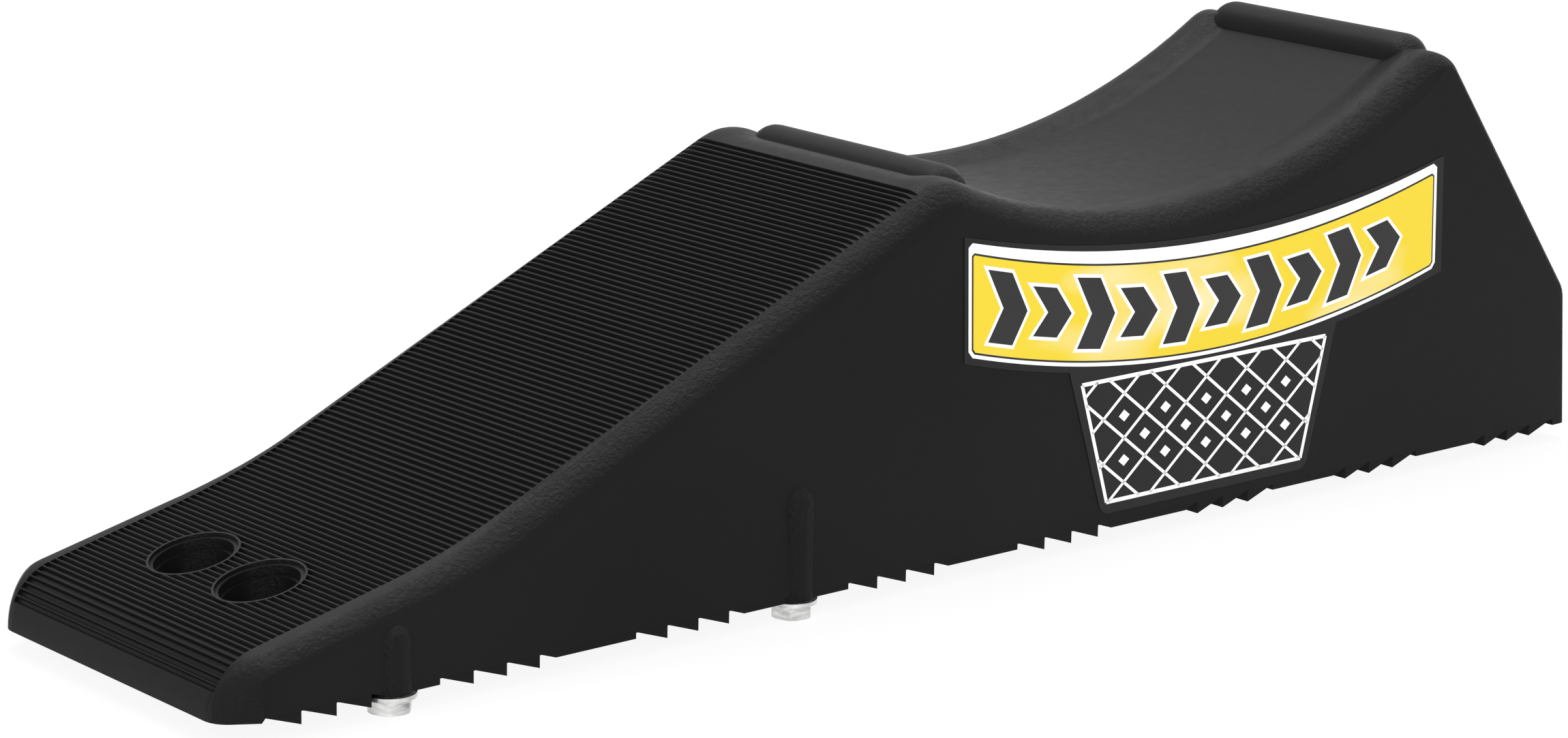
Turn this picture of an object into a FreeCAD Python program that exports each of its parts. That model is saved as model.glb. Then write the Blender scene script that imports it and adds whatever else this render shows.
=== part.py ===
"""A one-piece moulded ramp that lifts one wheel of a tandem-axle trailer, with its four traction bolts.

The nose is at -X, the tall rear end at +X, and the wheel rolls along X.
The side that carries the label faces -Y. +Z is up, and the bolt heads stand on Z = 0.
Sizes are in millimetres. Each x is measured from the nose, and each height from the skirt line,
where the side walls end and the toothed skirts begin.
"""

import FreeCAD, Part

import math
import os

# Overall moulding
length = 604.0
base_width = 136.5
draft_deg = 2.3
wall = 6.8
skin = 8.0

# Side profile
toe_foot_depth = 1.6
toe_foot_length = 12.1
nose_radius = 20.4
toe_slope_deg = 13.2
ramp_slope_deg = 25.2
slope_break_x = 86.9
slope_blend_radius = 225.0
crest_radius = 22.0
saddle_low_from_rear = 219.4
saddle_low_height = 107.2
saddle_front_radius = 215.0
saddle_rear_radius = 262.0
rear_crest_radius = 14.0
rear_slope_deg = 54.7
knee_height = 49.8
knee_radius = 11.0
rear_foot_length = 8.6
corner_cut_length = 14.0
corner_cut_width = 8.5

# Rounded edges
corner_round = 9.0
toe_edge_radius = 9.0
deck_edge_radius = 11.5
rear_edge_radius = 4.5

# Dished floor of the wheel saddle, between raised lips
dish_depth = 2.8
dish_floor_half_width = 39.0
dish_half_width = 52.0
dish_crest_radius = 18.0
dish_overshoot = 1.06
dish_side_sections = 5

# Transverse stop bars
bar_radius = 9.3
bar_half_length = 42.0
front_bar_sink = 4.4
front_bar_setback_deg = 1.45
rear_bar_sink = 7.7
rear_bar_from_rear = 74.9

# Tread ribs across the ramp
rib_pitch = 2.54
groove_top_width = 2.1
groove_floor_width = 1.1
groove_depth = 1.2
groove_half_length = 56.8
first_groove_angle_deg = 29.0

# Peg holes through the toe
hole_x = 44.2
hole_spacing = 36.8
hole_land_radius = 14.0
hole_mouth_radius = 12.7
hole_radius = 11.8
hole_ledge_depth = 3.2
collar_wall = 3.0

# Toothed skirts under the side walls
tooth_pitch = 12.7
tooth_depth = 4.4
flat_depth = 2.2
skirt_inset = 0.6
skirt_root = 4.0
first_valley_x = 13.1
teeth_per_group = 3
front_group_pitches = (0, 5, 11, 18, 24)
rear_group_pitches = (15, 9, 3)

# Bosses and hexagon flange bolts
boss_radius = 7.1
boss_inset = 5.3
front_bolt_x = 61.1
middle_bolt_x = 221.1
front_boss_height = 21.4
middle_boss_height = 37.1
boss_cap = 3.0
flange_radius = 8.5
flange_thickness = 1.4
hex_across_flats = 12.7
hex_height = 4.8
hex_corner_cut = 0.7
hex_turn_deg = 49.0
shank_radius = 3.95
shank_length = 16.0
shank_clearance = 0.1

# Webs under the deck
web = 4.5
cross_web_spacing = 44.0
long_web_offset = 20.5
first_cell_x = 24.0

# Printed film on the -Y side
label_thickness = 0.25
label_front_reach = 92.1
label_rear_reach = 144.9
label_end_rise = 1.6
label_top_sag = 13.8
label_end_height = 42.8
label_bottom_sag = 15.5
label_tab_foot = 3.5
label_tab_front_reach = 46.6
label_tab_rear_reach = 92.4
label_tab_taper = 18.5
label_corner_radius = 5.0

skirt_line = flat_depth + flange_thickness + hex_height
half_width = base_width / 2.0
draft = math.tan(math.radians(draft_deg))
saddle_low_x = length - saddle_low_from_rear
rear_bar_x = length - rear_bar_from_rear
above_all = 2.0 * saddle_low_height
below_all = -20.0
up = FreeCAD.Vector(0, 0, 1)
across = FreeCAD.Vector(0, 1, 0)


def point(x, z, y=0.0):
    return FreeCAD.Vector(x - length / 2.0, y, z + skirt_line)


def unit(angle_deg):
    angle = math.radians(angle_deg)
    return (math.cos(angle), math.sin(angle))


def along(start, direction, distance):
    return (start[0] + direction[0] * distance, start[1] + direction[1] * distance)


def towards(start, target, distance):
    gap = math.dist(start, target)
    direction = ((target[0] - start[0]) / gap, (target[1] - start[1]) / gap)
    return along(start, direction, distance)


def meeting(p, u, q, v):
    """Where the line through p along u meets the line through q along v."""
    cross = u[0] * v[1] - u[1] * v[0]
    distance = ((q[0] - p[0]) * v[1] - (q[1] - p[1]) * v[0]) / cross
    return along(p, u, distance)


def first_touch(start, direction, centre, distance):
    """The first point along a line that lies at a distance from the centre."""
    dx = start[0] - centre[0]
    dz = start[1] - centre[1]
    half = dx * direction[0] + dz * direction[1]
    rest = dx * dx + dz * dz - distance * distance
    return along(start, direction, -half - math.sqrt(half * half - rest))


def arc(start, end, centre, y=0.0):
    """The shorter arc from start to end about a centre."""
    chord_middle = ((start[0] + end[0]) / 2.0, (start[1] + end[1]) / 2.0)
    middle = towards(centre, chord_middle, math.dist(start, centre))
    return Part.Arc(point(*start, y), point(*middle, y), point(*end, y)).toShape()


def line(start, end, y=0.0):
    return Part.LineSegment(point(*start, y), point(*end, y)).toShape()


def open_lines(corners, y=0.0):
    return [line(a, b, y) for a, b in zip(corners, corners[1:])]


def prism(edges, depth):
    return Part.Face(Part.Wire(edges)).extrude(across * depth)


def centred_prism(corners, half_depth):
    return prism(open_lines(corners + corners[:1], -half_depth), 2.0 * half_depth)


toe_way = unit(toe_slope_deg)
toe_out = (-toe_way[1], toe_way[0])
ramp_way = unit(ramp_slope_deg)
ramp_out = (-ramp_way[1], ramp_way[0])
fall_way = unit(-rear_slope_deg)
fall_out = (-fall_way[1], fall_way[0])
rear_way = unit(draft_deg - 90.0)
rear_out = (-rear_way[1], rear_way[0])

nose_centre = (nose_radius, -toe_foot_depth)
toe_start = along(nose_centre, toe_out, nose_radius)
slope_break = meeting(toe_start, toe_way, (slope_break_x, 0.0), (0.0, 1.0))
knee = (length - knee_height * draft, knee_height)
saddle_front_centre = (saddle_low_x, saddle_low_height + saddle_front_radius)
saddle_rear_centre = (saddle_low_x, saddle_low_height + saddle_rear_radius)


def crest_at(radius, saddle_inset):
    """Start, end and centre of a crest between the ramp and a saddle lowered by an inset."""
    offset_line = along(slope_break, ramp_out, -radius)
    reach = saddle_front_radius + saddle_inset + radius
    centre = first_touch(offset_line, ramp_way, saddle_front_centre, reach)
    return along(centre, ramp_out, radius), towards(centre, saddle_front_centre, radius), centre


def rear_crest(inset):
    """Start, end and centre of the crest between the saddle and the rear slope."""
    fall_line = along(knee, fall_out, -rear_crest_radius)
    back = (-fall_way[0], -fall_way[1])
    reach = saddle_rear_radius + rear_crest_radius
    centre = first_touch(fall_line, back, saddle_rear_centre, reach)
    radius = rear_crest_radius - inset
    return towards(centre, saddle_rear_centre, radius), along(centre, fall_out, radius), centre


def profile_edges(inset, y):
    """The nose, deck, rear slope and rear wall, moved inwards by an inset."""
    toe_at = along(nose_centre, toe_out, nose_radius - inset)
    ramp_at = along(slope_break, ramp_out, -inset)
    bend_corner = meeting(toe_at, toe_way, ramp_at, ramp_way)
    bend_radius = slope_blend_radius + inset
    bend_reach = bend_radius * math.tan(math.radians((ramp_slope_deg - toe_slope_deg) / 2.0))
    bend_start = along(bend_corner, toe_way, -bend_reach)
    bend_end = along(bend_corner, ramp_way, bend_reach)
    bend_centre = along(bend_start, toe_out, bend_radius)

    crest_centre = crest_at(crest_radius, 0.0)[2]
    crest_start = along(crest_centre, ramp_out, crest_radius - inset)
    crest_end = towards(crest_centre, saddle_front_centre, crest_radius - inset)
    saddle_low = (saddle_low_x, saddle_low_height - inset)

    rear_crest_start, rear_crest_end, rear_crest_centre = rear_crest(inset)

    fall_at = along(knee, fall_out, -inset)
    rear_at = along(knee, rear_out, -inset)
    knee_corner = meeting(fall_at, fall_way, rear_at, rear_way)
    knee_turn = math.radians(90.0 - draft_deg - rear_slope_deg)
    knee_reach = (knee_radius - inset) * math.tan(knee_turn / 2.0)
    knee_start = along(knee_corner, fall_way, -knee_reach)
    knee_end = along(knee_corner, rear_way, knee_reach)
    knee_centre = along(knee_end, rear_out, inset - knee_radius)
    rear_foot = meeting(knee_end, rear_way, (0.0, -flat_depth), (1.0, 0.0))

    nose_foot = (inset, -toe_foot_depth)
    edges = [
        arc(nose_foot, toe_at, nose_centre, y),
        line(toe_at, bend_start, y),
        arc(bend_start, bend_end, bend_centre, y),
        line(bend_end, crest_start, y),
        arc(crest_start, crest_end, crest_centre, y),
        arc(crest_end, saddle_low, saddle_front_centre, y),
        arc(saddle_low, rear_crest_start, saddle_rear_centre, y),
        arc(rear_crest_start, rear_crest_end, rear_crest_centre, y),
        line(rear_crest_end, knee_start, y),
        arc(knee_start, knee_end, knee_centre, y),
        line(knee_end, rear_foot, y),
    ]
    return edges, nose_foot, rear_foot


def drafted_block(base_half):
    """A long block whose sides lean in by the draft, with its half width at the skirt line."""
    low = base_half - below_all * draft
    high = base_half - above_all * draft
    start = -length
    corners = [
        point(start, below_all, -low),
        point(start, below_all, low),
        point(start, above_all, high),
        point(start, above_all, -high),
    ]
    face = Part.Face(Part.makePolygon(corners + corners[:1]))
    return face.extrude(FreeCAD.Vector(3.0 * length, 0, 0))


def outer_block():
    edges, nose_foot, rear_foot = profile_edges(0.0, -base_width)
    rear_step = rear_foot[0] - rear_foot_length
    underside = [
        rear_foot,
        (rear_step, -flat_depth),
        (rear_step, 0.0),
        (first_valley_x, 0.0),
        (toe_foot_length, -toe_foot_depth),
        nose_foot,
    ]
    block = prism(edges + open_lines(underside, -base_width), 2.0 * base_width)
    block = block.common(drafted_block(half_width))
    return round_edges(cut_corners(block))


def cut_corners(block):
    """The nose corners cut off in plan, with the crease beside each side wall softened."""
    for side in (-1, 1):
        corners = [
            point(-1.0, below_all, side * (half_width - corner_cut_width)),
            point(0.0, below_all, side * (half_width - corner_cut_width)),
            point(corner_cut_length, below_all, side * half_width),
            point(corner_cut_length, below_all, side * base_width),
            point(-1.0, below_all, side * base_width),
        ]
        face = Part.Face(Part.makePolygon(corners + corners[:1]))
        block = block.cut(face.extrude(up * above_all))
    crease_limit = point(corner_cut_length + 2.0, 0.0).x
    creases = [e for e in block.Edges if is_upright(e) and e.CenterOfMass.x < crease_limit]
    return block.makeFillet(corner_round, creases)


def is_upright(edge):
    first, last = edge.Vertexes[0].Point, edge.Vertexes[-1].Point
    run = last - first
    return run.Length > 5.0 and abs(run.z) > 0.99 * run.Length


def facing(face):
    """The outward normal in the middle of a face."""
    u_low, u_high, v_low, v_high = face.ParameterRange
    return face.normalAt((u_low + u_high) / 2.0, (v_low + v_high) / 2.0)


def long_edges(block):
    """The numbers of the edges between the deck, nose or rear wall and the two sides."""
    beside = {}
    for face in block.Faces:
        normal = facing(face)
        for edge in face.Edges:
            beside.setdefault(edge.hashCode(), []).append(normal)
    numbers = []
    for number, edge in enumerate(block.Edges, 1):
        normals = beside[edge.hashCode()]
        square = [n for n in normals if abs(n.y) < 0.01]
        top = max(vertex.Point.z for vertex in edge.Vertexes)
        if len(square) == 1 and all(n.z > -0.5 for n in normals) and top > skirt_line + 0.1:
            numbers.append(number)
    return numbers


def edge_radius(place):
    """The rounding at the end of an edge: it grows where the ramp steepens and shrinks at the rear crest."""
    x = place.x + length / 2.0
    if x < slope_break_x:
        return toe_edge_radius
    if x < rear_crest(0.0)[2][0]:
        return deck_edge_radius
    return rear_edge_radius


def round_edges(block):
    """Rounds the long edges, in a run towards the rear on the -Y side and back on the other side."""
    document = FreeCAD.newDocument()
    source = document.addObject("Part::Feature")
    source.Shape = block
    rounded = document.addObject("Part::Fillet")
    rounded.Base = source
    radii = []
    for number in long_edges(block):
        edge = block.Edges[number - 1]
        ends = [edge.valueAt(edge.FirstParameter), edge.valueAt(edge.LastParameter)]
        ends.sort(key=lambda place: place.x, reverse=edge.CenterOfMass.y > 0.0)
        radii.append((number, edge_radius(ends[0]), edge_radius(ends[1])))
    rounded.Edges = radii
    document.recompute()
    shape = rounded.Shape.copy()
    FreeCAD.closeDocument(document.Name)
    return shape


def below_saddle(centre, radius, x):
    """The point at x on the lower half of a circle about a saddle centre."""
    return (x, centre[1] - math.sqrt(radius ** 2 - (x - centre[0]) ** 2))


def dish_section(level, y):
    """A slice of the dish cutter. Level 0 is the dish floor and level 1 the deck."""
    inset = dish_depth * (1.0 - level)
    radius = dish_crest_radius + level * (crest_radius - dish_crest_radius)
    start, end, centre = crest_at(radius, inset)
    low = (saddle_low_x, saddle_low_height - inset)
    rear = below_saddle(saddle_rear_centre, saddle_rear_radius + inset, rear_bar_x)
    closing = [rear, (rear_bar_x, above_all), along(start, ramp_out, above_all / 2.0), start]
    curved = [
        arc(start, end, centre, y),
        arc(end, low, saddle_front_centre, y),
        arc(low, rear, saddle_rear_centre, y),
    ]
    return curved + open_lines(closing, y)


def dish_cutters():
    cutters = [prism(dish_section(0.0, -dish_floor_half_width), 2.0 * dish_floor_half_width)]
    for side in (-1, 1):
        wires = []
        for step in range(dish_side_sections):
            share = step / (dish_side_sections - 1.0)
            level = dish_overshoot * (1.0 - math.cos(math.pi * share)) / 2.0
            y = dish_floor_half_width + share * (dish_half_width - dish_floor_half_width)
            wires.append(Part.Wire(dish_section(level, side * y)))
        cutters.append(Part.makeLoft(wires, True, False))
    return cutters


def front_bar_axis():
    """The front bar follows the end of the front crest."""
    crest_end = crest_at(crest_radius, 0.0)[1]
    lift = math.atan2(saddle_front_centre[1] - crest_end[1], saddle_front_centre[0] - crest_end[0])
    turn = lift + math.radians(front_bar_setback_deg)
    reach = saddle_front_radius + front_bar_sink
    return along(saddle_front_centre, (-math.cos(turn), -math.sin(turn)), reach)


def stop_bar(axis):
    """A half-round bar with ball ends, turned about its own axis."""
    centre = point(*axis)
    reach = bar_half_length + bar_radius
    slant = bar_radius / math.sqrt(2.0)

    def at(y, rise):
        return centre + FreeCAD.Vector(0, y, rise)

    ball_start = at(-bar_half_length, bar_radius)
    ball_end = at(bar_half_length, bar_radius)
    outline = [
        Part.Arc(at(-reach, 0), at(-bar_half_length - slant, slant), ball_start).toShape(),
        Part.LineSegment(ball_start, ball_end).toShape(),
        Part.Arc(ball_end, at(bar_half_length + slant, slant), at(reach, 0)).toShape(),
        Part.LineSegment(at(reach, 0), at(-reach, 0)).toShape(),
    ]
    return Part.Face(Part.Wire(outline)).revolve(centre, across, 360)


def groove_places():
    """Every groove from the nose to the crest as a place on the surface with its outward direction."""
    crest_start = crest_at(dish_crest_radius, dish_depth)[0]
    bend_half = math.radians((ramp_slope_deg - toe_slope_deg) / 2.0)
    bend_reach = slope_blend_radius * math.tan(bend_half)
    bend_start = along(slope_break, toe_way, -bend_reach)
    bend_end = along(slope_break, ramp_way, bend_reach)
    bend_centre = along(bend_start, toe_out, slope_blend_radius)
    nose_turn = math.radians(90.0 - toe_slope_deg - first_groove_angle_deg)
    runs = (
        nose_radius * nose_turn,
        math.dist(toe_start, bend_start),
        slope_blend_radius * 2.0 * bend_half,
        math.dist(bend_end, crest_start),
    )
    places = []
    for number in range(int(sum(runs) / rib_pitch) + 1):
        walked = number * rib_pitch
        if walked < runs[0]:
            lift = math.radians(first_groove_angle_deg) + walked / nose_radius
            out = (-math.cos(lift), math.sin(lift))
            places.append((along(nose_centre, out, nose_radius), out))
            continue
        walked -= runs[0]
        if walked < runs[1]:
            places.append((along(toe_start, toe_way, walked), toe_out))
            continue
        walked -= runs[1]
        if walked < runs[2]:
            slope = toe_slope_deg + math.degrees(walked / slope_blend_radius)
            out = (-unit(slope)[1], unit(slope)[0])
            places.append((along(bend_centre, out, -slope_blend_radius), out))
            continue
        walked -= runs[2]
        places.append((along(bend_end, ramp_way, walked), ramp_out))
    return places


def grooves():
    """Tapered grooves across the ramp, which leave the ribs standing flush with the border."""
    cutters = []
    flare = (groove_top_width - groove_floor_width) / 2.0 / groove_depth
    for place, out in groove_places():
        way = (out[1], -out[0])
        floor = along(place, out, -groove_depth)
        mouth = along(place, out, groove_depth)
        mouth_half = groove_floor_width / 2.0 + 2.0 * groove_depth * flare
        corners = [
            along(floor, way, -groove_floor_width / 2.0),
            along(floor, way, groove_floor_width / 2.0),
            along(mouth, way, mouth_half),
            along(mouth, way, -mouth_half),
        ]
        cutters.append(centred_prism(corners, groove_half_length))
    return Part.makeCompound(cutters)


def above_toe(depth):
    """Everything higher than a plane that lies a depth below the toe slope."""
    floor = along(toe_start, toe_out, -depth)
    corners = [
        along(floor, toe_way, -length),
        along(floor, toe_way, length),
        along(floor, toe_out, length),
    ]
    return centred_prism(corners, base_width)


def hole_post(side, radius):
    base = point(hole_x, below_all, side * hole_spacing / 2.0)
    return Part.makeCylinder(radius, above_all, base, up)


def add_holes(body, solid_block):
    """Two peg holes with a smooth land, a ledge and a collar that goes down to the skirt line."""
    for side in (-1, 1):
        collar = hole_post(side, hole_radius + collar_wall).common(solid_block)
        body = body.fuse(collar)
    for side in (-1, 1):
        body = body.cut(hole_post(side, hole_land_radius).common(above_toe(groove_depth)))
        mouth = hole_post(side, hole_mouth_radius).common(above_toe(groove_depth + hole_ledge_depth))
        body = body.cut(mouth).cut(hole_post(side, hole_radius))
    return body


def cells():
    """The hollows under the deck, between the walls, two long webs and the cross webs."""
    edges, nose_foot, rear_foot = profile_edges(skin, -base_width)
    closing = [rear_foot, (rear_foot[0], below_all), (nose_foot[0], below_all), nose_foot]
    hollow = prism(edges + open_lines(closing, -base_width), 2.0 * base_width)
    hollow = hollow.common(drafted_block(half_width - wall))
    high = above_all - below_all
    solids = [Part.makeBox(length, base_width, high, point(first_cell_x - length, below_all, -half_width))]
    for side in (-1, 1):
        corner = point(0.0, below_all, side * long_web_offset - web / 2.0)
        solids.append(Part.makeBox(length, web, high, corner))
    count = int((length - first_cell_x) / cross_web_spacing)
    for number in range(1, count + 1):
        corner = point(first_cell_x + number * cross_web_spacing - web, below_all, -half_width)
        solids.append(Part.makeBox(web, base_width, high, corner))
    return hollow.cut(solids)


def tooth_corners():
    """The toothed line under a side wall. Its rear groups are counted back from the rear foot."""
    rear_face = length - rear_foot_length
    rear_starts = [rear_face - pitches * tooth_pitch for pitches in rear_group_pitches]
    front_limit = rear_starts[0] - (teeth_per_group + 1) * tooth_pitch
    corners = [(first_valley_x, 0.0)]
    for pitches in front_group_pitches:
        start = first_valley_x + pitches * tooth_pitch
        if start > front_limit:
            break
        if pitches > 0:
            corners += [(start, -flat_depth), (start, 0.0)]
        for tooth in range(1, teeth_per_group + 1):
            tip = start + tooth * tooth_pitch
            corners += [(tip, -tooth_depth), (tip, 0.0)]
        corners.append((tip + tooth_pitch / 2.0, -flat_depth))
    for start in rear_starts:
        corners.append((start - tooth_pitch / 2.0, -flat_depth))
        for tooth in range(teeth_per_group):
            tip = start + tooth * tooth_pitch
            corners += [(tip, 0.0), (tip, -tooth_depth)]
        last = start + teeth_per_group * tooth_pitch
        corners += [(last, 0.0), (last, -flat_depth)]
    return corners


def skirts():
    corners = tooth_corners()
    rear = length - rear_foot_length + skirt_root
    outline = corners + [(rear, -flat_depth), (rear, skirt_root), (first_valley_x, skirt_root), corners[0]]
    thickness = wall - skirt_inset
    made = []
    for start in (half_width - wall, skirt_inset - half_width):
        made.append(prism(open_lines(outline, start), thickness))
    return made


def bolt_spots():
    """Every bolt by name, with its place and the height of its boss."""
    spots = {}
    rows = (("front", front_bolt_x, front_boss_height), ("middle", middle_bolt_x, middle_boss_height))
    for row, x, height in rows:
        for side_name, side in (("left", 1), ("right", -1)):
            spots[f"traction_bolt_{row}_{side_name}"] = (x, side * (half_width - boss_inset), height)
    return spots


def boss(x, y, height):
    """A domed post outside the wall, which ends flat inside the wall, a cap above the bolt's end."""
    seat = point(x, -flat_depth, y)
    post = Part.makeCylinder(boss_radius, height + flat_depth - boss_radius, seat, up)
    post = post.fuse(Part.makeSphere(boss_radius, point(x, height - boss_radius, y)))
    cap_height = shank_length - flat_depth + boss_cap
    inner_side = drafted_block(half_width - wall)
    low_corner = point(-length, cap_height, -base_width)
    above_cap = Part.makeBox(3.0 * length, 2.0 * base_width, above_all, low_corner)
    return post.cut(inner_side.common(above_cap))


def bolt_hole(x, y):
    seat = point(x, -flat_depth, y)
    return Part.makeCylinder(shank_radius + shank_clearance, shank_length + shank_clearance, seat, up)


def bolt(x, y):
    """A hexagon flange bolt, head down, with its flange seated on a boss."""
    seat = point(x, -flat_depth, y)
    head = seat - up * (flange_thickness + hex_height)
    corner_radius = hex_across_flats / math.sqrt(3.0)
    corners = []
    for number in range(7):
        angle = math.radians(hex_turn_deg + 60.0 * number)
        corners.append(head + FreeCAD.Vector(math.cos(angle), math.sin(angle), 0.0) * corner_radius)
    hexagon = Part.Face(Part.makePolygon(corners)).extrude(up * hex_height)
    slope_height = corner_radius - hex_across_flats / 2.0 + hex_corner_cut
    cone = Part.makeCone(corner_radius - hex_corner_cut, corner_radius + slope_height, slope_height, head, up)
    shaper = cone.fuse(Part.makeCylinder(flange_radius, hex_height, head + up * slope_height, up))
    hexagon = hexagon.common(shaper)
    flange = Part.makeCylinder(flange_radius, flange_thickness, seat - up * flange_thickness, up)
    shank = Part.makeCylinder(shank_radius, shank_length, seat, up)
    return hexagon.fuse([flange, shank]).removeSplitter()


def sagging_arc(left, right, level, sag):
    middle = point((left + right) / 2.0, level - sag, -base_width)
    return Part.Arc(point(left, level, -base_width), middle, point(right, level, -base_width)).toShape()


def label():
    """A thin film on the drafted wall: a sagging band with a tab below it."""
    left = saddle_low_x - label_front_reach
    right = saddle_low_x + label_rear_reach
    top = saddle_low_height + label_end_rise
    bottom = top - label_end_height
    band = [
        sagging_arc(left, right, top, label_top_sag),
        line((right, top), (right, bottom), -base_width),
        sagging_arc(left, right, bottom, label_bottom_sag),
        line((left, bottom), (left, top), -base_width),
    ]
    tab_front = saddle_low_x - label_tab_front_reach
    tab_rear = saddle_low_x + label_tab_rear_reach
    tab_corners = [
        (tab_front, bottom),
        (tab_rear, bottom),
        (tab_rear - label_tab_taper, label_tab_foot),
        (tab_front + label_tab_taper, label_tab_foot),
    ]
    tab = prism(open_lines(tab_corners + tab_corners[:1], -base_width), base_width)
    foot_edges = [e for e in tab.Edges if is_tab_corner(e)]
    sheet = prism(band, base_width).fuse(tab.makeFillet(label_corner_radius, foot_edges))
    film_side = drafted_block(half_width + label_thickness).cut(drafted_block(half_width))
    return sheet.common(film_side).removeSplitter()


def is_tab_corner(edge):
    ends = [vertex.Point for vertex in edge.Vertexes]
    foot = point(0.0, label_tab_foot).z
    return abs(ends[0].y - ends[1].y) > 1.0 and abs(ends[0].z - foot) < 0.01


def ramp_body():
    solid_block = outer_block()
    body = solid_block.cut(dish_cutters())
    rear_bar_axis = below_saddle(saddle_rear_centre, saddle_rear_radius + rear_bar_sink, rear_bar_x)
    body = body.fuse([stop_bar(front_bar_axis()), stop_bar(rear_bar_axis)])
    body = body.cut(grooves())
    body = body.cut(cells())
    body = body.fuse(skirts())
    body = add_holes(body, solid_block)
    for x, y, height in bolt_spots().values():
        body = body.fuse(boss(x, y, height)).cut(bolt_hole(x, y))
    return body


if __name__ == "__main__":
    os.makedirs("parts", exist_ok=True)
    pieces = {"ramp_body": ramp_body(), "side_label": label()}
    for name, (x, y, _) in bolt_spots().items():
        pieces[name] = bolt(x, y)
    for name, shape in pieces.items():
        print(name, shape.isValid(), len(shape.Solids), round(shape.Volume, 1))
        shape.exportStep(f"parts/{name}.step")
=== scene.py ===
"""Looks for a moulded trailer ramp: camera, light, materials and the printed side label."""

import math

import bmesh
import bpy
from mathutils import Matrix, Vector


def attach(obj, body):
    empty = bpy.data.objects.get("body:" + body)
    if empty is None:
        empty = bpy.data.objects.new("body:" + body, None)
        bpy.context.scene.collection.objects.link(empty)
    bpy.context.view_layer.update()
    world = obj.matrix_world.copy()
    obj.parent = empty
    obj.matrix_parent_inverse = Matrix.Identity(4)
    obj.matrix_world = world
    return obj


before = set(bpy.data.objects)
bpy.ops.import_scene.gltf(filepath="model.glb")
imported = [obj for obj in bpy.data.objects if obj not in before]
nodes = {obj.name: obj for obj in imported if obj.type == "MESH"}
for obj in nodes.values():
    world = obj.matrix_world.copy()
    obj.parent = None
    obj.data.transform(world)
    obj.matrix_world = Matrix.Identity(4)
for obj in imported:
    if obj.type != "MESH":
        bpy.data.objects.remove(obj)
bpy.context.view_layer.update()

# The photograph's view
image_width_px = 2300.0
focal_length_px = 6454.7
sensor_width_mm = 36.0
camera_place = Vector((-0.97795, -1.10107, 0.42831))
camera_azimuth_deg = 40.672
camera_down_deg = 14.137
camera_roll_deg = 1.098

# Light and background
sky_strength = 0.64
white_share = 0.91
floor_tone = (0.95, 0.95, 0.95)
floor_roughness = 0.8
floor_reach = 6.0
lamp_target = (0.0, 0.0, 0.1)
overhead_place = (0.3, 0.6, 2.2)
overhead_size = (2.0, 1.4)
overhead_power = 50.0
rim_place = (1.5, -0.6, 1.7)
rim_size = (0.8, 0.8)
rim_power = 10.0
front_place = (-1.8, -1.6, 1.0)
front_size = (1.2, 1.2)
front_power = 23.0

# Sizes of the solids that the print follows, in millimetres
half_length = 302.0
half_width = 68.25
skirt_line = 8.4
draft = math.tan(math.radians(2.3))
film_thickness = 0.25
print_step = 0.05
print_overlap = 0.9

# The print on the side label, in millimetres from the nose and the skirt line
band_left = 294.3
band_right = 525.9
white_top = (106.8, 14.0)
white_bottom = (68.0, 15.4)
keyline_top = (103.6, 15.4)
keyline_bottom = (69.3, 15.4)
border_corner = 1.8
keyline_corner = 1.2
keyline_inset = 1.4
field_inset = 0.7
band_steps = 40
chevron_count = 10
first_chevron_x = 303.0
chevron_pitch = 20.6
chevron_width = 11.0
chevron_point = 7.0
chevron_rim = 1.2
chevron_shares = ((0.14, 0.86), (0.25, 0.75))
tab_corners = ((347.0, 50.6), (468.0, 50.6), (456.0, 7.6), (359.0, 7.6))
lattice_spacing = 12.4
lattice_slope_deg = 38.0
lattice_line_reach = 8
lattice_row_reach = 6
lattice_column_reach = 9
whole_cell_share = 0.75
tab_line_width = 1.1
tab_border_width = 1.3 * tab_line_width
dot_size = 2.6
dot_height = 0.8 * dot_size

# Moulded plastic. Scales are per metre, and heights of bumps in metres
plastic_dark = (0.005, 0.005, 0.0052)
plastic_light = (0.0068, 0.0068, 0.007)
plastic_tone_scale = 9.0
plastic_roughness = (0.43, 0.5)
plastic_roughness_scale = 260.0
plastic_specular = 0.105
polish = (0.02, 0.2)
polish_scale = 150.0
grain_scale = 2200.0
grain_strength = 0.25
grain_height = 0.00006
mottle_scale = 620.0
mottle_roughness = 0.65
mottle_strength = 0.8
mottle_height = 0.0011
off_deck_slopes = (0.12, 0.4)
off_wall_slopes = (0.9, 0.985)

# Plated steel, with painted bands of shade and reflection
steel_painted_shade = (0.3, 0.3, 0.298)
steel_light = (0.95, 0.95, 0.94)
steel_painted_band_scale = 110.0
steel_painted_band_stretch = (1.0, 1.0, 4.5)
steel_roughness = (0.2, 0.4)
steel_roughness_scale = 600.0

# Film and inks
film_dark = (0.0092, 0.0092, 0.0095)
film_light = (0.0108, 0.0108, 0.0111)
film_tone_scale = 30.0
film_roughness = (0.38, 0.44)
film_roughness_scale = 50.0
ink_roughness = (0.4, 0.46)
ink_roughness_scale = 70.0
print_specular = 0.2
white_ink = ((0.86, 0.86, 0.855), (0.9, 0.9, 0.895))
black_ink = ((0.022, 0.022, 0.022), (0.027, 0.027, 0.027))
plain_ink_scale = 30.0
# The lighter yellow tone is a painted sheen, drawn out in streaks
yellow_ink_and_sheen = ((0.775, 0.585, 0.032), (0.83, 0.78, 0.56))
yellow_sheen_scale = 9.0
yellow_sheen_free_share = 0.48
yellow_sheen_stretch = (1.0, 1.0, 3.2)

# Where a texture's value starts and ends its range of tones
texture_low = 0.3
texture_high = 0.7


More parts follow.
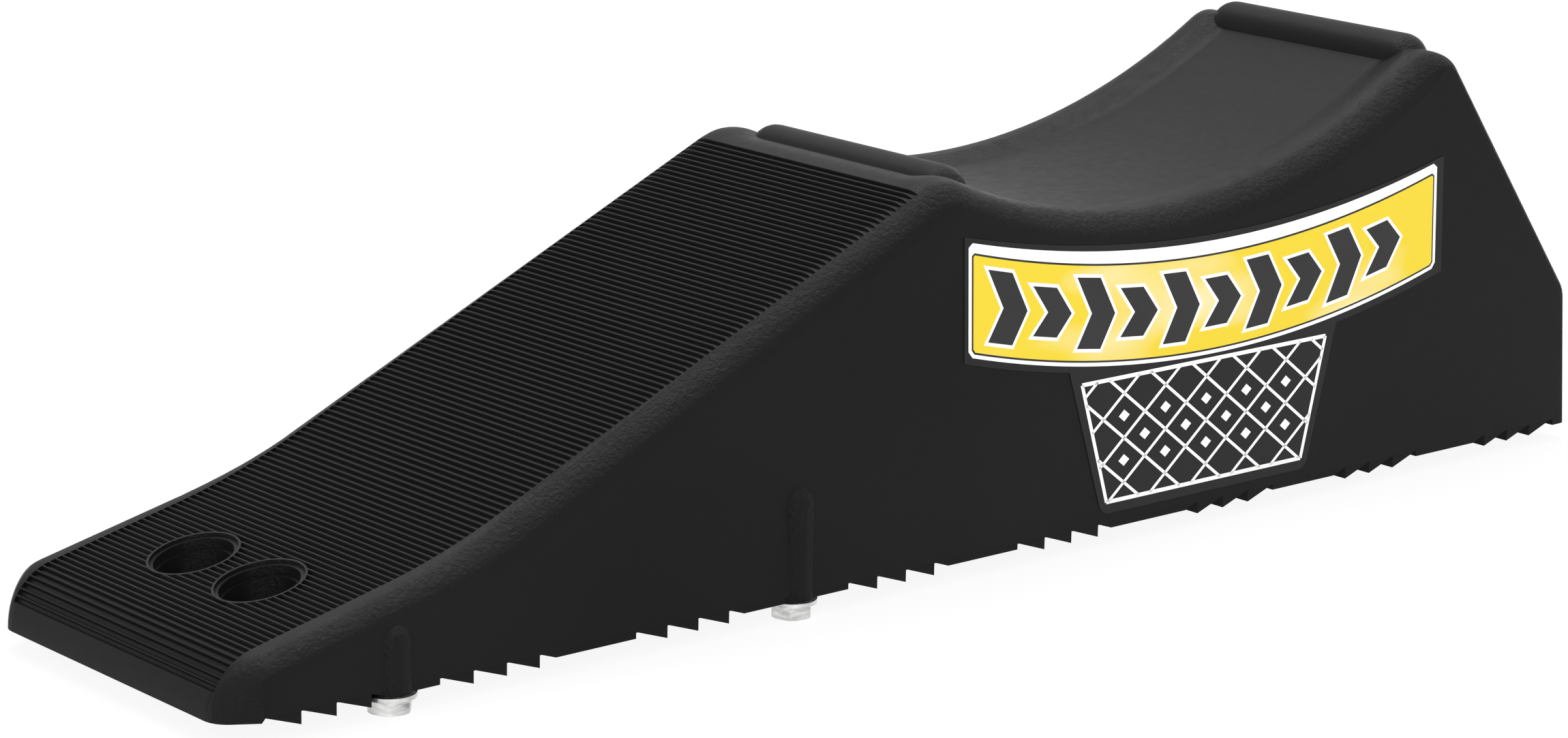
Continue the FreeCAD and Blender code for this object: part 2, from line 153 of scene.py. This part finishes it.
def make_camera():
    """A camera that looks along the photograph's azimuth, downward tilt and roll."""
    azimuth = math.radians(camera_azimuth_deg)
    down = math.radians(camera_down_deg)
    level = math.cos(down)
    forward = Vector((math.sin(azimuth) * level, math.cos(azimuth) * level, -math.sin(down)))
    level_right = Vector((math.cos(azimuth), -math.sin(azimuth), 0.0))
    right = Matrix.Rotation(math.radians(-camera_roll_deg), 3, forward) @ level_right
    upward = right.cross(forward)
    data = bpy.data.cameras.new("camera")
    data.sensor_fit = "HORIZONTAL"
    data.sensor_width = sensor_width_mm
    data.lens = sensor_width_mm * focal_length_px / image_width_px
    data.clip_start = 0.05
    data.clip_end = 20.0
    camera = bpy.data.objects.new("camera", data)
    bpy.context.scene.collection.objects.link(camera)
    axes = Matrix((right, upward, -forward)).transposed()
    camera.matrix_world = Matrix.Translation(camera_place) @ axes.to_4x4()
    bpy.context.scene.camera = camera


def new_material(name):
    """A material with only an output and a shader."""
    material = bpy.data.materials.new(name)
    material.use_nodes = True
    tree = material.node_tree
    tree.nodes.clear()
    output = tree.nodes.new("ShaderNodeOutputMaterial")
    shader = tree.nodes.new("ShaderNodeBsdfPrincipled")
    tree.links.new(shader.outputs["BSDF"], output.inputs["Surface"])
    return material, tree, shader


def seen_directly(tree):
    """One for camera, glossy and transmission rays, which see the white background, and zero for the rest."""
    path = tree.nodes.new("ShaderNodeLightPath")
    total = path.outputs["Is Camera Ray"]
    for ray in ("Is Glossy Ray", "Is Transmission Ray"):
        either = tree.nodes.new("ShaderNodeMath")
        either.operation = "MAXIMUM"
        tree.links.new(total, either.inputs[0])
        tree.links.new(path.outputs[ray], either.inputs[1])
        total = either.outputs["Value"]
    return total


def noise(tree, scale, detail=2.0, roughness=0.5, stretch=(1.0, 1.0, 1.0)):
    """A noise in the object's own coordinates, which a stretch draws out across its smaller values."""
    place = tree.nodes.new("ShaderNodeTexCoord")
    stretched = tree.nodes.new("ShaderNodeVectorMath")
    stretched.operation = "MULTIPLY"
    stretched.inputs[1].default_value = stretch
    tree.links.new(place.outputs["Object"], stretched.inputs[0])
    texture = tree.nodes.new("ShaderNodeTexNoise")
    texture.inputs["Scale"].default_value = scale
    texture.inputs["Detail"].default_value = detail
    texture.inputs["Roughness"].default_value = roughness
    tree.links.new(stretched.outputs["Vector"], texture.inputs["Vector"])
    return texture.outputs["Fac"]


def map_range(tree, value, source, target):
    """Maps a value from one range onto another, and holds it inside."""
    node = tree.nodes.new("ShaderNodeMapRange")
    node.inputs["From Min"].default_value = source[0]
    node.inputs["From Max"].default_value = source[1]
    node.inputs["To Min"].default_value = target[0]
    node.inputs["To Max"].default_value = target[1]
    tree.links.new(value, node.inputs["Value"])
    return node.outputs["Result"]


def spread(tree, value, low, high):
    """Maps a texture's value onto a range."""
    return map_range(tree, value, (texture_low, texture_high), (low, high))


def colour_between(tree, value, dark, light, dark_share=texture_low):
    """A colour between two tones. A larger share keeps more of the surface dark."""
    ramp = tree.nodes.new("ShaderNodeValToRGB")
    ramp.color_ramp.elements[0].position = dark_share
    ramp.color_ramp.elements[0].color = (*dark, 1.0)
    ramp.color_ramp.elements[1].position = texture_high
    ramp.color_ramp.elements[1].color = (*light, 1.0)
    tree.links.new(value, ramp.inputs["Fac"])
    return ramp.outputs["Color"]


def product(tree, first, second):
    node = tree.nodes.new("ShaderNodeMath")
    node.operation = "MULTIPLY"
    tree.links.new(first, node.inputs[0])
    tree.links.new(second, node.inputs[1])
    return node.outputs["Value"]


def on_roundings(tree):
    """One where the surface turns between a side wall and the deck, and zero on both of them."""
    place = tree.nodes.new("ShaderNodeTexCoord")
    split = tree.nodes.new("ShaderNodeSeparateXYZ")
    tree.links.new(place.outputs["Normal"], split.inputs["Vector"])
    sideways = tree.nodes.new("ShaderNodeMath")
    sideways.operation = "ABSOLUTE"
    tree.links.new(split.outputs["Y"], sideways.inputs[0])
    off_deck = map_range(tree, sideways.outputs["Value"], off_deck_slopes, (0.0, 1.0))
    off_wall = map_range(tree, sideways.outputs["Value"], off_wall_slopes, (1.0, 0.0))
    return product(tree, off_deck, off_wall)


def bump(tree, height, strength, distance, under=None):
    """Raises a surface by a texture, on top of another bump where one is given."""
    node = tree.nodes.new("ShaderNodeBump")
    node.inputs["Strength"].default_value = strength
    node.inputs["Distance"].default_value = distance
    tree.links.new(height, node.inputs["Height"])
    if under is not None:
        tree.links.new(under, node.inputs["Normal"])
    return node.outputs["Normal"]


def moulded_plastic():
    """Black polypropylene with a fine grain, a faint mottle and slow variations in tone."""
    material, tree, shader = new_material("moulded_plastic")
    tone = colour_between(tree, noise(tree, plastic_tone_scale, 3.0), plastic_dark, plastic_light)
    tree.links.new(tone, shader.inputs["Base Color"])
    rounding = on_roundings(tree)
    smoother = product(tree, spread(tree, noise(tree, polish_scale, 3.0), *polish), rounding)
    matt = tree.nodes.new("ShaderNodeMath")
    matt.operation = "SUBTRACT"
    plain = spread(tree, noise(tree, plastic_roughness_scale, 4.0), *plastic_roughness)
    tree.links.new(plain, matt.inputs[0])
    tree.links.new(smoother, matt.inputs[1])
    tree.links.new(matt.outputs["Value"], shader.inputs["Roughness"])
    shader.inputs["Specular IOR Level"].default_value = plastic_specular
    grain = bump(tree, noise(tree, grain_scale), grain_strength, grain_height)
    mottle = product(tree, noise(tree, mottle_scale, 4.0, mottle_roughness), rounding)
    mottled = bump(tree, mottle, mottle_strength, mottle_height, grain)
    tree.links.new(mottled, shader.inputs["Normal"])
    return material


def plated_steel():
    """Bright zinc plate with painted bands of shade and reflection round the heads."""
    material, tree, shader = new_material("plated_steel")
    # Horizontal bands of painted shade and painted reflection darken the plate's colour
    painted_bands = noise(tree, steel_painted_band_scale, 5.0, 0.6, steel_painted_band_stretch)
    tone = colour_between(tree, painted_bands, steel_painted_shade, steel_light)
    tree.links.new(tone, shader.inputs["Base Color"])
    shader.inputs["Metallic"].default_value = 1.0
    roughness = spread(tree, noise(tree, steel_roughness_scale, 3.0), *steel_roughness)
    tree.links.new(roughness, shader.inputs["Roughness"])
    return material


def printed_film():
    """The label's own dark satin face, round and under its print."""
    material, tree, shader = new_material("printed_film")
    tone = colour_between(tree, noise(tree, film_tone_scale), film_dark, film_light)
    tree.links.new(tone, shader.inputs["Base Color"])
    roughness = spread(tree, noise(tree, film_roughness_scale), *film_roughness)
    tree.links.new(roughness, shader.inputs["Roughness"])
    shader.inputs["Specular IOR Level"].default_value = print_specular
    return material


def ink(name, dark, light, scale, dark_share=texture_low, stretch=(1.0, 1.0, 1.0)):
    """A printed colour with slow variations between two tones; on the yellow the lighter tone is a painted
    sheen.
    """
    material, tree, shader = new_material(name)
    tone = colour_between(tree, noise(tree, scale, 2.0, 0.5, stretch), dark, light, dark_share)
    tree.links.new(tone, shader.inputs["Base Color"])
    roughness = spread(tree, noise(tree, ink_roughness_scale), *ink_roughness)
    tree.links.new(roughness, shader.inputs["Roughness"])
    shader.inputs["Specular IOR Level"].default_value = print_specular
    return material


def on_label(x, z, layer):
    """A point on the side label, from x and height in millimetres and the layer of print."""
    y = draft * z - half_width - film_thickness - layer * print_step
    return Vector((x - half_length, y, z + skirt_line)) / 1000.0


def printed(name, outlines, layer, material):
    """Thin flat shapes of one ink, which stand a step proud of the layer under them."""
    mesh = bmesh.new()
    for outline in outlines:
        front = [mesh.verts.new(on_label(x, z, layer)) for x, z in outline]
        back = [mesh.verts.new(on_label(x, z, layer - print_overlap)) for x, z in outline]
        mesh.faces.new(front)
        for i in range(len(outline)):
            j = (i + 1) % len(outline)
            mesh.faces.new((front[j], front[i], back[i], back[j]))
    data = bpy.data.meshes.new(name)
    mesh.to_mesh(data)
    mesh.free()
    data.materials.append(material)
    piece = bpy.data.objects.new(name, data)
    bpy.context.scene.collection.objects.link(piece)
    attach(piece, "root")


def sag(line, x):
    """The height at x of a sagging line, from its height at the ends and its depth."""
    middle = (band_left + band_right) / 2.0
    half = (band_right - band_left) / 2.0
    end_height, depth = line
    return end_height - depth * (1.0 - ((x - middle) / half) ** 2)


def band(inset, top, bottom, corner):
    """The outline of a band between two sagging lines, with its corners cut off."""
    left, right = band_left + inset, band_right - inset
    run = right - left - 2.0 * corner
    xs = [left + corner + run * i / band_steps for i in range(band_steps + 1)]
    outline = [(left, sag(bottom, left) + corner)]
    outline += [(x, sag(bottom, x)) for x in xs]
    outline += [(right, sag(bottom, right) + corner), (right, sag(top, right) - corner)]
    outline += [(x, sag(top, x)) for x in reversed(xs)]
    outline.append((left, sag(top, left) - corner))
    return outline


def grown(outline, amount):
    """A closed outline, given anticlockwise, with every side moved out by an amount."""
    moved = []
    for i, (x, z) in enumerate(outline):
        before = Vector(outline[i - 1])
        after = Vector(outline[(i + 1) % len(outline)])
        into = (Vector((x, z)) - before).normalized()
        away = (after - Vector((x, z))).normalized()
        turn = into.x * away.y - into.y * away.x
        share = (1.0 - into.dot(away)) / turn if abs(turn) > 1e-6 else 0.0
        moved.append((x + amount * (into.y + into.x * share), z + amount * (share * into.y - into.x)))
    return moved


def chevron(left, low, high):
    """A block with a point towards the rear, between two shares of the band's height."""
    middle = (low + high) / 2.0
    right = left + chevron_width
    spots = (
        (left, low), (right, low), (right + chevron_point, middle),
        (right, high), (left, high), (left + chevron_point, middle),
    )
    outline = []
    for x, share in spots:
        floor = sag(keyline_bottom, x)
        outline.append((x, floor + share * (sag(keyline_top, x) - floor)))
    return outline


def strip(start, end, width):
    """A straight line of one width as a closed outline."""
    run = (Vector(end) - Vector(start)).normalized() * (width / 2.0)
    side = Vector((-run.y, run.x))
    corners = (Vector(start) - side, Vector(end) - side, Vector(end) + side, Vector(start) + side)
    return [(corner.x, corner.y) for corner in corners]


def across_tab(place, direction):
    """The two ends of a line through a place where it crosses the tab's outline."""
    spots = []
    for i, first in enumerate(tab_corners):
        second = tab_corners[(i + 1) % len(tab_corners)]
        side = Vector(second) - Vector(first)
        turn = direction.x * side.y - direction.y * side.x
        gap = Vector(first) - place
        share = (gap.x * direction.y - gap.y * direction.x) / turn
        if 0.0 <= share <= 1.0:
            spots.append(Vector(first) + side * share)
    return spots


def lattice_lines():
    """Two sets of slanted lines, cut off at the tab's outline."""
    slope = math.radians(lattice_slope_deg)
    middle_x = (tab_corners[0][0] + tab_corners[1][0]) / 2.0
    middle_z = (tab_corners[0][1] + tab_corners[2][1]) / 2.0
    centre = Vector((middle_x, middle_z))
    lines = []
    for lean in (-1.0, 1.0):
        direction = Vector((math.cos(slope), lean * math.sin(slope)))
        off = Vector((-direction.y, direction.x))
        for number in range(-lattice_line_reach, lattice_line_reach + 1):
            spots = across_tab(centre + off * (number * lattice_spacing), direction)
            if len(spots) == 2 and (spots[0] - spots[1]).length > lattice_spacing / 2.0:
                lines.append(strip(spots[0], spots[1], tab_line_width))
    return lines, centre, slope


def lattice_dots(centre, slope):
    """A small diamond in the middle of each whole cell of the lattice."""
    half_wide = lattice_spacing / (2.0 * math.sin(slope))
    half_high = lattice_spacing / (2.0 * math.cos(slope))
    margin_wide = half_wide * whole_cell_share
    margin_high = half_high * whole_cell_share
    left, right = tab_corners[0][0], tab_corners[1][0]
    top, bottom = tab_corners[0][1], tab_corners[2][1]
    dots = []
    for row in range(-lattice_row_reach, lattice_row_reach + 1):
        for column in range(-lattice_column_reach, lattice_column_reach + 1):
            if (row + column) % 2 == 0:
                continue
            x, z = centre.x + column * half_wide, centre.y + row * half_high
            lean = (tab_corners[3][0] - left) * (top - z) / (top - bottom)
            inside_width = margin_wide < x - left - lean and margin_wide < right - lean - x
            inside_height = bottom + margin_high < z < top - margin_high
            if inside_width and inside_height:
                dots.append([(x - dot_size, z), (x, z - dot_height), (x + dot_size, z), (x, z + dot_height)])
    return dots


def make_print():
    """A plain generic design: a bright band with a row of chevrons, and a lattice on the tab."""
    white = ink("print_white", *white_ink, plain_ink_scale)
    black = ink("print_black", *black_ink, plain_ink_scale)
    # The yellow field's pale streaks are a painted sheen
    yellow = ink("print_yellow", *yellow_ink_and_sheen, yellow_sheen_scale, yellow_sheen_free_share, yellow_sheen_stretch)
    printed("print_border", [band(0.0, white_top, white_bottom, border_corner)], 1, white)
    keyline = band(keyline_inset, keyline_top, keyline_bottom, keyline_corner)
    printed("print_keyline", [keyline], 2, black)
    printed("print_field", [grown(keyline, -field_inset)], 3, yellow)
    rims, blocks = [], []
    for number in range(chevron_count):
        low, high = chevron_shares[number % len(chevron_shares)]
        outline = chevron(first_chevron_x + number * chevron_pitch, low, high)
        rims.append(grown(outline, chevron_rim))
        blocks.append(outline)
    printed("print_chevron_rims", rims, 4, white)
    printed("print_chevrons", blocks, 5, black)
    lines, centre, slope = lattice_lines()
    ends = list(tab_corners) + [tab_corners[0]]
    border = [strip(a, b, tab_border_width) for a, b in zip(ends, ends[1:])]
    printed("print_tab_lines", lines + border + lattice_dots(centre, slope), 1, white)


def dress(node, material):
    """Gives a solid its material."""
    for slot in nodes[node].material_slots:
        slot.material = material


def make_floor():
    """A pale floor that the camera sees as white, with the ramp's own shadow on it."""
    mesh = bpy.data.meshes.new("floor")
    turns = ((-1, -1), (1, -1), (1, 1), (-1, 1))
    corners = [(x * floor_reach, y * floor_reach, 0.0) for x, y in turns]
    mesh.from_pydata(corners, [], [(0, 1, 2, 3)])
    floor = bpy.data.objects.new("floor", mesh)
    bpy.context.scene.collection.objects.link(floor)
    material, tree, shader = new_material("floor")
    shader.inputs["Base Color"].default_value = (*floor_tone, 1.0)
    shader.inputs["Roughness"].default_value = floor_roughness
    output = next(n for n in tree.nodes if n.type == "OUTPUT_MATERIAL")
    white = tree.nodes.new("ShaderNodeEmission")
    white.inputs["Strength"].default_value = 1.0
    share = tree.nodes.new("ShaderNodeMath")
    share.operation = "MULTIPLY"
    share.inputs[1].default_value = white_share
    tree.links.new(seen_directly(tree), share.inputs[0])
    mix = tree.nodes.new("ShaderNodeMixShader")
    tree.links.new(share.outputs["Value"], mix.inputs["Fac"])
    tree.links.new(shader.outputs["BSDF"], mix.inputs[1])
    tree.links.new(white.outputs["Emission"], mix.inputs[2])
    tree.links.new(mix.outputs["Shader"], output.inputs["Surface"])
    mesh.materials.append(material)


def make_world():
    """An even sky that lights the ramp, and that the camera and reflections see as white."""
    world = bpy.data.worlds.new("studio")
    world.use_nodes = True
    tree = world.node_tree
    tree.nodes.clear()
    output = tree.nodes.new("ShaderNodeOutputWorld")
    background = tree.nodes.new("ShaderNodeBackground")
    background.inputs["Color"].default_value = (1.0, 1.0, 1.0, 1.0)
    strength = tree.nodes.new("ShaderNodeMapRange")
    strength.inputs["To Min"].default_value = sky_strength
    strength.inputs["To Max"].default_value = 1.0
    tree.links.new(seen_directly(tree), strength.inputs["Value"])
    tree.links.new(strength.outputs["Result"], background.inputs["Strength"])
    tree.links.new(background.outputs["Background"], output.inputs["Surface"])
    bpy.context.scene.world = world


def area_light(name, place, size, power):
    """A soft lamp that faces the ramp."""
    data = bpy.data.lights.new(name, "AREA")
    data.shape = "RECTANGLE"
    data.size = size[0]
    data.size_y = size[1]
    data.energy = power
    lamp = bpy.data.objects.new(name, data)
    lamp.location = place
    aim = Vector(lamp_target) - Vector(place)
    lamp.rotation_euler = aim.to_track_quat("-Z", "Y").to_euler()
    bpy.context.scene.collection.objects.link(lamp)


def make_lights():
    area_light("overhead", overhead_place, overhead_size, overhead_power)
    area_light("rim", rim_place, rim_size, rim_power)
    area_light("front", front_place, front_size, front_power)


make_camera()
make_world()
make_lights()
make_floor()
dress("ramp_body", moulded_plastic())
steel = plated_steel()
for node in nodes:
    if node.startswith("traction_bolt"):
        dress(node, steel)
dress("side_label", printed_film())
make_print()
bpy.context.scene.view_settings.view_transform = "Standard"
